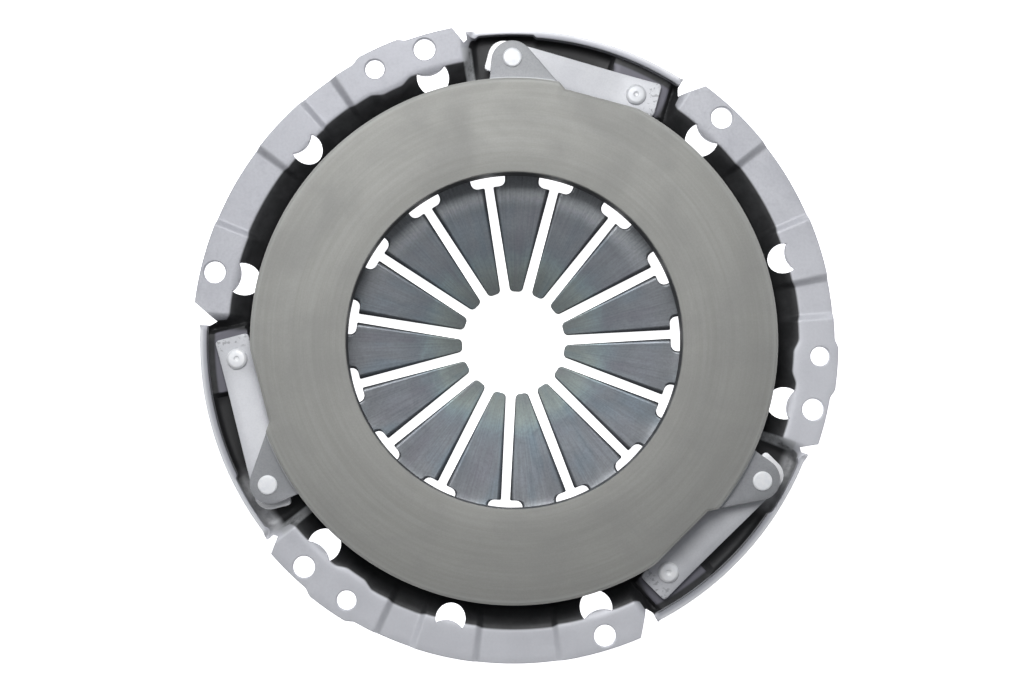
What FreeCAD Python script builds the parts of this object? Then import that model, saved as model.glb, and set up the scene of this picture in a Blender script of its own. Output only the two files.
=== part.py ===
"""A dry single-plate clutch pressure plate of the push-release diaphragm kind.

The pressed cover bolts to the flywheel by its flange. The cast pressure plate hangs in it on
three packs of spring straps. A fifteen-finger diaphragm spring, held between two wire rings by
shouldered rivets, pushes the plate forward. The model shows the free state, as sold.

The origin is the centre of the bolt circle on the flange face that meets the flywheel.
+Z points at the flywheel. Angles are counted from +X towards +Y.
"""
import FreeCAD, Part
import math
import os

from FreeCAD import Vector

# Bolt circle and the holes in the flange
bolt_circle = 254.0
bolt_hole = 9.0
dowel_hole = 8.0
strap_count = 3
first_bolt_angle = 107.1
second_bolt_angle = 60.0
dowel_angle = 10.05

# Cast pressure plate, whose rim lies inside the bolts by an inset
plate_inset = 18.9
face_height = 9.5
face_width = 39.1
bore_draft = 0.3
plate_thickness = 11.5
face_chamfer = 1.0
ridge_inset = 7.6
ridge_height = 5.5
ridge_tip_width = 2.6
ridge_base_width = 6.0
ridge_breaks = 12
ridge_break_angle = 5.1
plate_travel = 3.6

# Lugs of the plate. The round end's centre lies inside the rivet by an inset.
lug_step = 3.5
lug_thickness = 5.0
lug_end_radius = 8.7
lug_end_inset = 1.5
lug_back_angle = 5.1
lug_front_run = 6.5

# Pressed cover: sheet, flange and wall. The wall's widths count from its middle, at the pocket floor.
sheet = 3.2
bend_radius = 3.0
flange_edge = 6.0
dowel_pad_bulge = 1.6
dowel_pad_angles = (3.5, 12.5)
plate_clearance = 1.5
wall_top_width = 7.8
wall_foot_width = 8.6
opening_margin = 3.0

# Raised pads of one flange segment, as angles from its first bolt
flange_pad_angles = ((-6.6, 16.8), (25.2, 35.2), (51.8, 67.4))
ramp_angle = 1.5
recess_depth = 2.0

# Vent windows in the cover wall, behind each bolt pad and the middle pad
bolt_window_radius = 6.7
bolt_window_inset = 11.8
middle_window_radius = 6.2
middle_window_inset = 9.6
middle_window_angle = 30.0
bolt_boss_radius = 10.6

# Pockets of the cover that hold the straps, as angles from the next segment's first bolt
pocket_angles = (-49.4, -10.0)
pocket_clearance = 7.0
pocket_rim_drop = 1.0

# Strap packs, in a frame along each strap: distance from the axis and run from the foot point.
# The two rivet angles count from the strap's normal, one to each side.
strap_normal_angle = 75.0
strap_offset = 4.6
strap_width = 14.0
leaf_thickness = 0.7
leaf_count = 3
lug_rivet_angle = 15.43
cover_rivet_angle = 11.29
strap_tail = 8.8
strap_nose = 10.6
strap_nose_corner = 4.0
strap_rise = 3.9
strap_gap = 0.4
strap_corner = 1.5

# Strap rivets. A taper is the share of a head or tail's radius that is left at its end.
strap_shank_radius = 3.0
lug_rivet_head_radius = 4.0
lug_rivet_head_height = 0.8
lug_rivet_head_taper = 0.92
cover_rivet_head_radius = 4.3
cover_rivet_head_height = 1.7
cover_rivet_shoulder_height = 1.0
cover_rivet_shoulder_taper = 0.95
cover_rivet_top_taper = 0.65
strap_rivet_tail_radius = 4.0
strap_rivet_tail_height = 1.9
strap_rivet_tail_taper = 0.8
rivet_dimple_radius = 1.0
rivet_dimple_depth = 0.5
rivet_dimple_taper = 0.5

# Pads in the pockets that carry the fixed end of each strap pack, as reaches from its rivet
strap_pad_tail = 12.5
strap_pad_nose = 11.5
strap_pad_wall = 2.2
strap_pad_clearance = 0.5

# Diaphragm spring. Its rim passes the ridge, and its windows end short of the fulcrum.
finger_count = 15
first_slot_angle = 3.07
spring_edge = 2.0
spring_lever = 16.0
spring_thickness = 2.4
cone_angle = 13.4
finger_angle = 4.4
finger_tip_radius = 21.8
tip_round = 1.6
slot_width_inside = 4.1
slot_width_outside = 3.7
window_margin = 1.3
window_length = 16.7
window_angle = 12.1
window_corner = 2.6
finger_root = 1.5

# Fulcrum rings and the shouldered rivets that hold them
ring_wire = 3.2
ring_split = 3.0
ring_clearance = 0.6
fulcrum_shoulder_radius = 4.1
fulcrum_shank_radius = 3.0
fulcrum_head_radius = 6.9
fulcrum_head_height = 1.5
fulcrum_head_taper = 0.85
fulcrum_tail_radius = 5.4
fulcrum_tail_height = 2.3
fulcrum_tail_taper = 0.72

# Flats that stand in for small round forms
rivet_sides = 8
fulcrum_rivet_sides = 6
wire_sides = 6
nose_sides = 3
window_sides = 8

# Clearances
seat_gap = 0.05
ridge_gap = 0.1
rivet_clearance = 0.05
floor_clearance = 1.5

# Distance from a plane under which four corners count as flat
flatness = 1e-7

# Radii that follow from the bolt circle inward
bolt_radius = bolt_circle / 2
flange_radius = bolt_radius + flange_edge
dowel_pad_radius = flange_radius + dowel_pad_bulge
plate_radius = bolt_radius - plate_inset
plate_bore_radius = plate_radius - face_width
ridge_radius = plate_radius - ridge_inset
ridge_edge = ridge_radius + ridge_tip_width / 2
wall_middle_radius = plate_radius + plate_clearance
wall_top_radius = wall_middle_radius + wall_top_width
wall_foot_radius = wall_middle_radius - wall_foot_width
cover_opening_radius = plate_bore_radius + opening_margin
spring_radius = ridge_radius + spring_edge
fulcrum_radius = ridge_radius - spring_lever
fulcrum_rivet_distance = fulcrum_radius - ring_wire / 2 - fulcrum_shoulder_radius - ring_clearance
window_outer_radius = fulcrum_radius - window_margin
window_inner_radius = window_outer_radius - window_length
band_inner_radius = window_inner_radius + window_corner

# Places along the straps
strap_distance = plate_radius + strap_offset
flat_distance = strap_distance - strap_width / 2 - strap_gap
pocket_radius = strap_distance + strap_width / 2 + pocket_clearance
lug_rivet_run = strap_distance * math.tan(math.radians(lug_rivet_angle))
cover_rivet_run = -strap_distance * math.tan(math.radians(cover_rivet_angle))
strap_pad_run = (cover_rivet_run - strap_pad_tail, cover_rivet_run + strap_pad_nose)
strap_spacing = 360.0 / strap_count

# Heights that follow from the stack
axis = Vector(0, 0, 1)
centre = Vector(0, 0, 0)
plate_back = face_height - plate_thickness
ridge_tip = plate_back - ridge_height
lug_front = face_height - lug_step
lug_back = lug_front - lug_thickness
pack_thickness = leaf_thickness * leaf_count
strap_pad_top = lug_back - pack_thickness - strap_rise
pocket_floor = (lug_back - pack_thickness - strap_rivet_tail_height
                - plate_travel - floor_clearance)
pocket_rim = -pocket_rim_drop
cone_slope = math.tan(math.radians(cone_angle))
finger_slope = math.tan(math.radians(finger_angle))
finger_step = 360.0 / finger_count
spring_half_height = spring_thickness / 2 / math.cos(math.radians(cone_angle))
fulcrum_height = (ridge_tip - ridge_gap - spring_half_height
                  - (ridge_edge - fulcrum_radius) * cone_slope)
knee_height = fulcrum_height - (fulcrum_radius - band_inner_radius) * cone_slope
wire_flat = ring_wire / 2 * math.tan(math.pi / wire_sides)
ring_offset = spring_half_height + ring_wire / 2 + wire_flat * cone_slope + seat_gap
front_ring_height = fulcrum_height + ring_offset
rear_ring_height = fulcrum_height - ring_offset
back_inside = rear_ring_height - ring_wire / 2 - seat_gap
back_outside = back_inside - sheet
head_seat = front_ring_height + ring_wire / 2 + seat_gap


def polar(radius, angle, height=0.0):
    """A point by its radius, angle in degrees and height."""
    turn = math.radians(angle)
    return Vector(radius * math.cos(turn), radius * math.sin(turn), height)


def in_section(across, up):
    """A point of a section that is to be revolved about the Z axis."""
    return Vector(across, 0, up)


def turned(shape, angle):
    """A copy of the shape, turned about the Z axis."""
    copy = shape.copy()
    copy.rotate(centre, axis, angle)
    return copy


def bevelled_wire(corners, radii, place=in_section):
    """A closed wire of straight runs. A corner with a radius gets the chord of its bend."""
    points = []
    count = len(corners)
    for index in range(count):
        here = Vector(*corners[index], 0)
        back = (Vector(*corners[index - 1], 0) - here).normalize()
        ahead = (Vector(*corners[(index + 1) % count], 0) - here).normalize()
        if radii[index] == 0:
            points.append(here)
            continue
        reach = radii[index] / math.tan(back.getAngle(ahead) / 2)
        points += [here + back * reach, here + ahead * reach]
    placed = [place(p.x, p.y) for p in points]
    return Part.makePolygon(placed + placed[:1])


def sheet_wire(path, bends, thickness):
    """The section of a sheet whose front skin follows the path. A bend of 0 is a sharp corner."""
    points = [Vector(*point, 0) for point in path]
    runs = [(b - a).normalize() for a, b in zip(points, points[1:])]
    normals = [Vector(run.y, -run.x, 0) for run in runs]
    rear = [points[0] + normals[0] * thickness]
    front_radii = [0]
    rear_radii = [0]
    for index in range(1, len(points) - 1):
        before, after = normals[index - 1], normals[index]
        rear.append(points[index] + (before + after) * (thickness / (1 + before.dot(after))))
        turns_up = runs[index - 1].x * runs[index].y - runs[index - 1].y * runs[index].x > 0
        bend = bends[index - 1]
        front_radii.append(bend and bend + (0 if turns_up else thickness))
        rear_radii.append(bend and bend + (thickness if turns_up else 0))
    rear.append(points[-1] + normals[-1] * thickness)
    corners = [(p.x, p.y) for p in points + rear[::-1]]
    return bevelled_wire(corners, front_radii + [0, 0] + rear_radii[:0:-1] + [0])


def revolved(wire, start=0.0, end=360.0):
    """The solid that a section sweeps about the Z axis between two angles."""
    face = Part.Face(wire)
    return turned(face.revolve(centre, axis, end - start), start)


def joined(lower, upper):
    """The solid between two closed polygons of as many corners, with flat faces round it.

    A side that twists is split along its shorter diagonal, which keeps the two skins of a
    sheet apart.
    """
    first = [v.Point for v in lower.OrderedVertexes]
    second = [v.Point for v in upper.OrderedVertexes]
    faces = [Part.Face(lower), Part.Face(upper)]
    for index in range(len(first)):
        after = (index + 1) % len(first)
        corners = [first[index], first[after], second[after], second[index]]
        flat = Part.makePolygon(corners + corners[:1])
        normal = (corners[1] - corners[0]).cross(corners[3] - corners[0]).normalize()
        if abs(normal.dot(corners[2] - corners[0])) < flatness:
            faces.append(Part.Face(flat))
            continue
        if (corners[2] - corners[0]).Length > (corners[3] - corners[1]).Length:
            corners = corners[1:] + corners[:1]
        for trio in (corners[:3], [corners[0], corners[2], corners[3]]):
            faces.append(Part.Face(Part.makePolygon(trio + trio[:1])))
    solid = Part.Solid(Part.Shell(faces))
    return solid if solid.Volume > 0 else solid.reversed()


def between(first_wire, first_angle, second_wire, second_angle):
    """The solid that joins two sections standing at two angles."""
    return joined(turned(first_wire, first_angle), turned(second_wire, second_angle))


def upright(radius, low, high, point):
    """A cylinder along Z at a point."""
    return Part.makeCylinder(radius, high - low, Vector(point.x, point.y, low))


def ring_of_points(radius, sides, height):
    """A closed regular polygon about the Z axis, whose flats touch the radius from outside."""
    reach = radius / math.cos(math.pi / sides)
    points = [polar(reach, 360.0 / sides * (side + 0.5), height) for side in range(sides)]
    return Part.makePolygon(points + points[:1])


def shank_radius(hole_radius, sides):
    """Radius to the flats of a shank whose corners clear a round hole."""
    return (hole_radius - rivet_clearance) * math.cos(math.pi / sides)


def prism(radius, sides, low, high, point):
    """A many-sided post along Z at a point."""
    post = Part.Face(ring_of_points(radius, sides, low)).extrude(Vector(0, 0, high - low))
    post.translate(Vector(point.x, point.y, 0))
    return post


def stacked(profile, sides):
    """A turned piece of a few flats a side, from its radii and heights, lowest first."""
    pieces = []
    for (lower_radius, low), (upper_radius, high) in zip(profile[::2], profile[1::2]):
        pieces.append(joined(ring_of_points(lower_radius, sides, low),
                             ring_of_points(upper_radius, sides, high)))
    return pieces[0].multiFuse(pieces[1:]).removeSplitter()


def placed_at(shape, point):
    """A copy of the shape, moved sideways to a point."""
    copy = shape.copy()
    copy.translate(Vector(point.x, point.y, 0))
    return copy


def strap_point(distance, run, height, index):
    """A point given by its distance from the axis and its run along strap number index."""
    angle = math.radians(strap_normal_angle + strap_spacing * index)
    outward = Vector(math.cos(angle), math.sin(angle), 0)
    along = Vector(-math.sin(angle), math.cos(angle), 0)
    return outward * distance + along * run + Vector(0, 0, height)


def strap_block(distances, runs, heights, index):
    """A box along a strap, between two distances, two runs and two heights."""
    corners = [(distances[0], runs[0]), (distances[1], runs[0]),
               (distances[1], runs[1]), (distances[0], runs[1])]
    points = [strap_point(d, r, heights[0], index) for d, r in corners]
    face = Part.Face(Part.makePolygon(points + points[:1]))
    return face.extrude(Vector(0, 0, heights[1] - heights[0]))


def flange_section(level):
    """Section of the cover where its flange face lies at a level."""
    wall_lean = (wall_top_radius - wall_middle_radius) / -pocket_floor
    path = [(cover_opening_radius, back_inside), (wall_foot_radius, back_inside),
            (wall_middle_radius, pocket_floor), (wall_top_radius + wall_lean * level, level),
            (flange_radius, level)]
    return sheet_wire(path, (bend_radius, 0, bend_radius), sheet)


def pocket_section():
    """Section of the cover through a strap pocket, whose outer wall stands upright."""
    path = [(cover_opening_radius, back_inside), (wall_foot_radius, back_inside),
            (wall_middle_radius, pocket_floor), (pocket_radius, pocket_floor),
            (pocket_radius, pocket_rim)]
    return sheet_wire(path, (bend_radius, 0, bend_radius), sheet)


def flange_segment(first_bolt):
    """One third of the cover: a flange with raised pads and recesses, then a strap pocket."""
    pad = flange_section(0)
    recess = flange_section(-recess_depth)
    pocket = pocket_section()
    pieces = []
    for start, end in flange_pad_angles:
        pieces.append(revolved(pad, first_bolt + start, first_bolt + end))
    for (_, low_start), (low_end, _) in zip(flange_pad_angles, flange_pad_angles[1:]):
        start = first_bolt + low_start
        end = first_bolt + low_end
        pieces.append(between(pad, start, recess, start + ramp_angle))
        pieces.append(revolved(recess, start + ramp_angle, end - ramp_angle))
        pieces.append(between(recess, end - ramp_angle, pad, end))
    pocket_start, pocket_end = (first_bolt + a for a in pocket_angles)
    pieces.append(revolved(pocket, pocket_start, pocket_end))
    pieces.append(between(pocket, pocket_end, pad, first_bolt + flange_pad_angles[0][0]))
    previous_end = first_bolt - strap_spacing + flange_pad_angles[-1][1]
    pieces.append(between(pad, previous_end, pocket, pocket_start))
    return pieces


def dowel_pad(first_bolt):
    """The part of the flange that stands out round the dowel hole."""
    corners = [(wall_top_radius + bend_radius + sheet, -sheet), (dowel_pad_radius, -sheet),
               (dowel_pad_radius, 0), (wall_top_radius + bend_radius + sheet, 0)]
    start, end = (first_bolt + a for a in dowel_pad_angles)
    return revolved(bevelled_wire(corners, (0,) * len(corners)), start, end)


def strap_pad(index):
    """The raised land of a pocket under the fixed strap end, and the hollow behind it."""
    inner = flat_distance + strap_pad_clearance
    outer = pocket_radius + sheet / 2
    land = strap_block((inner, outer), strap_pad_run, (back_outside, strap_pad_top), index)
    inner_hollow = (inner + strap_pad_wall, outer)
    hollow_run = (strap_pad_run[0] + strap_pad_wall, strap_pad_run[1] - strap_pad_wall)
    hollow = strap_block(inner_hollow, hollow_run,
                         (back_outside, strap_pad_top - strap_pad_wall), index)
    hollow = hollow.common(Part.makeCylinder(pocket_radius, -back_outside * 2,
                                             Vector(0, 0, back_outside * 2)))
    return land, hollow


def cover():
    """The pressed steel cover."""
    pieces = []
    for index in range(strap_count):
        first_bolt = first_bolt_angle + strap_spacing * index
        pieces += flange_segment(first_bolt)
        pieces.append(dowel_pad(first_bolt))
    body = pieces[0].multiFuse(pieces[1:])
    above = above_sheet()
    for index in range(strap_count):
        land, hollow = strap_pad(index)
        body = body.fuse(land.common(above))
        body = body.cut(hollow)
    return body.cut(Part.makeCompound(cover_holes())).removeSplitter()


def above_sheet():
    """The space in front of the rear skin of the pocket section, all round."""
    corners = [(cover_opening_radius, back_outside), (wall_foot_radius + sheet / 2, back_outside),
               (wall_middle_radius + sheet / 2, pocket_floor - sheet),
               (pocket_radius + sheet, pocket_floor - sheet),
               (pocket_radius + sheet, face_height), (cover_opening_radius, face_height)]
    return revolved(bevelled_wire(corners, (0,) * len(corners)))


def cover_holes():
    """Bolt, dowel and rivet holes, and the vent windows beside the pads."""
    low, high = back_outside - sheet, sheet
    tools = []
    for index in range(strap_count):
        first = first_bolt_angle + strap_spacing * index
        for offset in (0, second_bolt_angle):
            spot = polar(bolt_radius, first + offset)
            tools.append(upright(bolt_hole / 2, low, high, spot))
            tools.append(wall_window(bolt_window_radius, bolt_window_inset, first + offset))
        tools.append(upright(dowel_hole / 2, low, high, polar(bolt_radius, first + dowel_angle)))
        tools.append(wall_window(middle_window_radius, middle_window_inset,
                                 first + middle_window_angle))
        tools.append(upright(strap_shank_radius, low, high,
                             strap_point(strap_distance, cover_rivet_run, 0, index)))
    for index in range(finger_count):
        angle = first_slot_angle + finger_step * index
        hole = prism(fulcrum_shank_radius, fulcrum_rivet_sides, low, high, centre)
        tools.append(placed_at(turned(hole, angle), polar(fulcrum_rivet_distance, angle)))
    return tools


def wall_window(radius, inset, angle):
    """The tool for a vent window: a post through the wall, less the boss round the bolt."""
    low, high = back_outside - sheet, sheet
    post = placed_at(turned(prism(radius, window_sides, low, high, centre), angle),
                     polar(bolt_radius - inset, angle))
    boss = placed_at(turned(prism(bolt_boss_radius, window_sides, low, high, centre), angle),
                     polar(bolt_radius, angle))
    return post.cut(boss)


def plate_ring():
    """The cast ring with its friction face, tapered bore, outer chamfer and broken fulcrum ridge."""
    corners = [(plate_bore_radius, face_height), (plate_radius - face_chamfer, face_height),
               (plate_radius, face_height - face_chamfer), (plate_radius, plate_back),
               (plate_bore_radius - bore_draft, plate_back)]
    ring = revolved(bevelled_wire(corners, (0,) * len(corners)))
    half_tip = ridge_tip_width / 2
    half_base = ridge_base_width / 2
    corners = [(ridge_radius + half_base, plate_back), (ridge_radius + half_tip, ridge_tip),
               (ridge_radius - half_tip, ridge_tip), (ridge_radius - half_base, plate_back)]
    ridge = bevelled_wire(corners, (0,) * len(corners))
    step = 360.0 / ridge_breaks
    half_break = ridge_break_angle / 2
    lands = [revolved(ridge, step * index + half_break, step * (index + 1) - half_break)
             for index in range(ridge_breaks)]
    return ring.multiFuse(lands)


def lug_corners(index):
    """The corners of a lug's plan: front root, start of the round end, hub, end of the round
    end, back root, and a point inside the ring."""
    rivet = strap_point(strap_distance, lug_rivet_run, 0, index)
    hub = rivet * (1 - lug_end_inset / rivet.Length)
    hub_angle = math.degrees(math.atan2(hub.y, hub.x))
    front_root = strap_point(flat_distance, lug_front_run, 0, index)
    back_root = polar(plate_radius - face_chamfer, hub_angle + lug_back_angle)
    return (front_root, tangent_point(front_root, hub, lug_end_radius, -1), hub,
            tangent_point(back_root, hub, lug_end_radius, 1), back_root,
            polar(plate_radius - face_width / 4, hub_angle))


def lug(index):
    """A lug of the plate, drawn as a straight-sided tongue with a round end at its rivet."""
    points = lug_corners(index)
    tongue = Part.Face(Part.makePolygon(points + points[:1])).extrude(Vector(0, 0, lug_thickness))
    end = Part.makeCylinder(lug_end_radius, lug_thickness, points[2])
    body = tongue.fuse(end)
    body.translate(Vector(0, 0, lug_back))
    return body


def tangent_point(start, hub, radius, side):
    """Where the line from start touches the circle round hub, on one side of it."""
    span = hub - start
    reach = math.sqrt(span.Length ** 2 - radius ** 2)
    swing = math.degrees(math.asin(radius / span.Length)) * side
    direction = FreeCAD.Rotation(axis, swing).multVec(span.normalize())
    return start + direction * reach


def beside_strap(index, beyond):
    """What a flat takes off the ring. It ends along the line of the lug's front side."""
    root, touch = lug_corners(index)[:2]
    points = [root, touch, strap_point(beyond, -beyond / 2, 0, index),
              strap_point(flat_distance, -beyond / 2, 0, index)]
    flat = Part.Face(Part.makePolygon(points + points[:1])).extrude(Vector(0, 0, plate_thickness))
    flat.translate(Vector(0, 0, plate_back))
    return flat


def pressure_plate():
    """The iron casting: ring, three flats beside the straps, and three drilled lugs."""
    ring = plate_ring()
    beyond = plate_radius + sheet
    strap_end = lug_rivet_run + strap_nose + strap_width
    for index in range(strap_count):
        under_lug = strap_block((flat_distance, beyond), (-beyond / 2, strap_end),
                                (ridge_tip, lug_back), index)
        ring = ring.cut(Part.makeCompound([beside_strap(index, beyond), under_lug]))
    body = ring.multiFuse([lug(index) for index in range(strap_count)])
    holes = [upright(strap_shank_radius, ridge_tip, face_height,
                     strap_point(strap_distance, lug_rivet_run, 0, index))
             for index in range(strap_count)]
    return body.cut(Part.makeCompound(holes)).removeSplitter()


def diaphragm_spring():
    """The slotted cone spring: a conical band with windows, and flat fingers down to the tips."""
    rim_height = fulcrum_height + (spring_radius - fulcrum_radius) * cone_slope
    path = [(band_inner_radius, knee_height), (spring_radius, rim_height)]
    band = revolved(sheet_wire(path, (), spring_thickness))
    band.translate(Vector(0, 0, spring_half_height))
    low, high = back_outside - sheet, ridge_tip + sheet
    corners = [(window_inner_radius, low), (window_outer_radius, low),
               (window_outer_radius, high), (window_inner_radius, high)]
    window = bevelled_wire(corners, (0,) * len(corners))
    half = window_angle / 2
    windows = []
    fingers = []
    for index in range(finger_count):
        slot = first_slot_angle + finger_step * index
        windows.append(revolved(window, slot - half, slot + half))
        fingers.append(turned(finger(), slot + finger_step / 2))
    return band.cut(Part.makeCompound(windows)).multiFuse(fingers).removeSplitter()


def finger():
    """A flat finger along X, with its root inside the band."""
    end = band_inner_radius + finger_root
    reach = band_inner_radius - finger_tip_radius
    path = [(finger_tip_radius - tip_round, knee_height - (reach + tip_round) * finger_slope),
            (end + tip_round, knee_height + (finger_root + tip_round) * finger_slope)]
    side_view = sheet_wire(path, (), spring_thickness)
    plate = Part.Face(side_view).extrude(Vector(0, 2 * spring_radius, 0))
    plate.translate(Vector(0, -spring_radius, spring_thickness / 2 / math.cos(math.radians(finger_angle))))
    land = finger_step / 2 - window_angle / 2
    neck = window_inner_radius * math.tan(math.radians(window_angle / 2)) - window_corner
    edge = [beside_slot(finger_tip_radius, slot_width_inside / 2 + tip_round),
            beside_slot(finger_tip_radius + tip_round, slot_width_inside / 2),
            beside_slot(window_inner_radius, slot_width_outside / 2),
            beside_slot(window_inner_radius, neck),
            polar(band_inner_radius, land), polar(end, land)]
    points = edge + [Vector(p.x, -p.y, p.z) for p in reversed(edge)]
    outline = Part.makePolygon(points + points[:1])
    outline.translate(Vector(0, 0, back_outside - sheet))
    return Part.Face(outline).extrude(Vector(0, 0, face_height - back_outside)).common(plate)


def beside_slot(run, offset):
    """A point of a finger's plan, by its run along the slot beside it and its offset from that."""
    along = polar(1, finger_step / 2)
    return along * run + Vector(along.y, -along.x, 0) * offset


def fulcrum_ring(height):
    """A split ring of wire, whose gap lies midway between two rivets."""
    reach = ring_wire / 2 / math.cos(math.pi / wire_sides)
    corners = []
    for side in range(wire_sides):
        turn = 2 * math.pi / wire_sides * side
        corners.append((fulcrum_radius + reach * math.cos(turn), height + reach * math.sin(turn)))
    opening = math.degrees(ring_split / fulcrum_radius)
    gap_centre = first_slot_angle + finger_step / 2
    return revolved(bevelled_wire(corners, (0,) * wire_sides),
                    gap_centre + opening / 2, gap_centre + 360 - opening / 2)


def fulcrum_rivets():
    """One shouldered rivet in each window, headed over the front ring and behind the cover."""
    shank = shank_radius(fulcrum_shank_radius, fulcrum_rivet_sides)
    profile = [(fulcrum_tail_radius * fulcrum_tail_taper, back_outside - fulcrum_tail_height),
               (fulcrum_tail_radius, back_outside),
               (shank, back_outside), (shank, back_inside),
               (fulcrum_shoulder_radius, back_inside), (fulcrum_shoulder_radius, head_seat),
               (fulcrum_head_radius, head_seat),
               (fulcrum_head_radius * fulcrum_head_taper, head_seat + fulcrum_head_height)]
    rivet = stacked(profile, fulcrum_rivet_sides)
    rivets = []
    for index in range(finger_count):
        angle = first_slot_angle + finger_step * index
        rivets.append(placed_at(turned(rivet, angle), polar(fulcrum_rivet_distance, angle)))
    return Part.makeCompound(rivets)


def leaf_skin(height):
    """Side view of a leaf's front skin: level on the pad, a gentle slope, level on the lug."""
    low = height - strap_rise
    return [(cover_rivet_run - strap_tail, low), (cover_rivet_run + strap_width / 2, low),
            (lug_rivet_run - strap_width / 2, height),
            (lug_rivet_run + strap_nose, height)]


def strap_leaf(layer):
    """One leaf of the first strap pack. Layer 0 lies against the lug."""
    front = lug_back - layer * leaf_thickness
    side_view = leaf_skin(front) + leaf_skin(front - leaf_thickness)[::-1]
    near = strap_distance - strap_width / 2
    points = [strap_point(near, run, up, 0) for run, up in side_view]
    across = (strap_point(1, 0, 0, 0) - strap_point(0, 0, 0, 0)) * strap_width
    strip = Part.Face(Part.makePolygon(points + points[:1])).extrude(across)
    holes = [leaf_hole(strap_shank_radius + rivet_clearance, run)
             for run in (lug_rivet_run, cover_rivet_run)]
    return strip.common(leaf_outline()).cut(Part.makeCompound(holes))


def leaf_hole(radius, run):
    """A rivet hole through the first strap pack, at a run along it."""
    return prism(radius, rivet_sides, pocket_floor, face_height,
                 strap_point(strap_distance, run, 0, 0))


def leaf_outline():
    """The plan of a leaf: small corners at the cover, and rounder ones past the lug rivet."""
    half = strap_width / 2
    tail = cover_rivet_run - strap_tail
    hub_run = lug_rivet_run + strap_nose - strap_nose_corner
    corners = [(strap_distance - half, tail + strap_corner),
               (strap_distance - half + strap_corner, tail),
               (strap_distance + half - strap_corner, tail),
               (strap_distance + half, tail + strap_corner)]
    for side, first in ((1, 0), (-1, math.pi / 2)):
        for step in range(nose_sides + 1):
            turn = first + math.pi / 2 / nose_sides * step
            corners.append((strap_distance + side * (half - strap_nose_corner)
                            + strap_nose_corner * math.cos(turn),
                            hub_run + strap_nose_corner * math.sin(turn)))
    wire = bevelled_wire(corners, (0,) * len(corners),
                         lambda d, r: strap_point(d, r, pocket_floor, 0))
    return Part.Face(wire).extrude(Vector(0, 0, face_height - pocket_floor))


def strap_rivet_lug():
    """Rivet of the first moving strap end: a flat head on the lug, a closed tail under the pack."""
    shank = shank_radius(strap_shank_radius, rivet_sides)
    tail = lug_back - pack_thickness
    head = lug_front + lug_rivet_head_height
    profile = [(strap_rivet_tail_radius * strap_rivet_tail_taper, tail - strap_rivet_tail_height),
               (strap_rivet_tail_radius, tail), (shank, tail), (shank, lug_front),
               (lug_rivet_head_radius, lug_front), (lug_rivet_head_radius * lug_rivet_head_taper, head)]
    return placed_at(stacked(profile, rivet_sides),
                     strap_point(strap_distance, lug_rivet_run, 0, 0))


def strap_rivet_cover():
    """Rivet of the first fixed strap end: a domed, dimpled head, and a tail under the pad."""
    shank = shank_radius(strap_shank_radius, rivet_sides)
    seat = strap_pad_top + pack_thickness
    middle = seat + cover_rivet_shoulder_height
    top = seat + cover_rivet_head_height
    tail = strap_pad_top - strap_pad_wall
    shoulder = cover_rivet_head_radius * cover_rivet_shoulder_taper
    profile = [(strap_rivet_tail_radius * strap_rivet_tail_taper, tail - strap_rivet_tail_height),
               (strap_rivet_tail_radius, tail), (shank, tail), (shank, seat),
               (cover_rivet_head_radius, seat), (shoulder, middle),
               (shoulder, middle), (cover_rivet_head_radius * cover_rivet_top_taper, top)]
    dimple = joined(ring_of_points(rivet_dimple_radius * rivet_dimple_taper, rivet_sides,
                                   top - rivet_dimple_depth),
                    ring_of_points(rivet_dimple_radius, rivet_sides, top))
    return placed_at(stacked(profile, rivet_sides).cut(dimple),
                     strap_point(strap_distance, cover_rivet_run, 0, 0))


def make_parts():
    """Every piece of the assembly by its name."""
    parts = {
        "cover": cover(),
        "pressure_plate": pressure_plate(),
        "diaphragm_spring": diaphragm_spring(),
        "fulcrum_ring_front": fulcrum_ring(front_ring_height),
        "fulcrum_ring_rear": fulcrum_ring(rear_ring_height),
        "fulcrum_rivets": fulcrum_rivets(),
    }
    strap_pieces = {f"leaf_{layer + 1}": strap_leaf(layer) for layer in range(leaf_count)}
    strap_pieces["rivet_lug"] = strap_rivet_lug()
    strap_pieces["rivet_cover"] = strap_rivet_cover()
    for index in range(strap_count):
        for name, shape in strap_pieces.items():
            parts[f"strap_{index + 1}_{name}"] = turned(shape, strap_spacing * index)
    return parts


os.makedirs("parts", exist_ok=True)
for name, shape in make_parts().items():
    shape.exportStep(f"parts/{name}.step")
    print(f"{name}: {len(shape.Solids)} solids, valid {shape.isValid()}, "
          f"volume {shape.Volume / 1000:.2f} cm3")
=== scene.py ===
"""Looks of the clutch pressure plate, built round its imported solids.

All lengths are in millimetres times MM. Angles are counted from +X towards +Y, and radii from the
clutch axis. The flange face that meets the flywheel is at height 0, and +Z points at the flywheel.
"""
import math

import bmesh
import bpy
import numpy as np
from mathutils import Matrix, Vector


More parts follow.
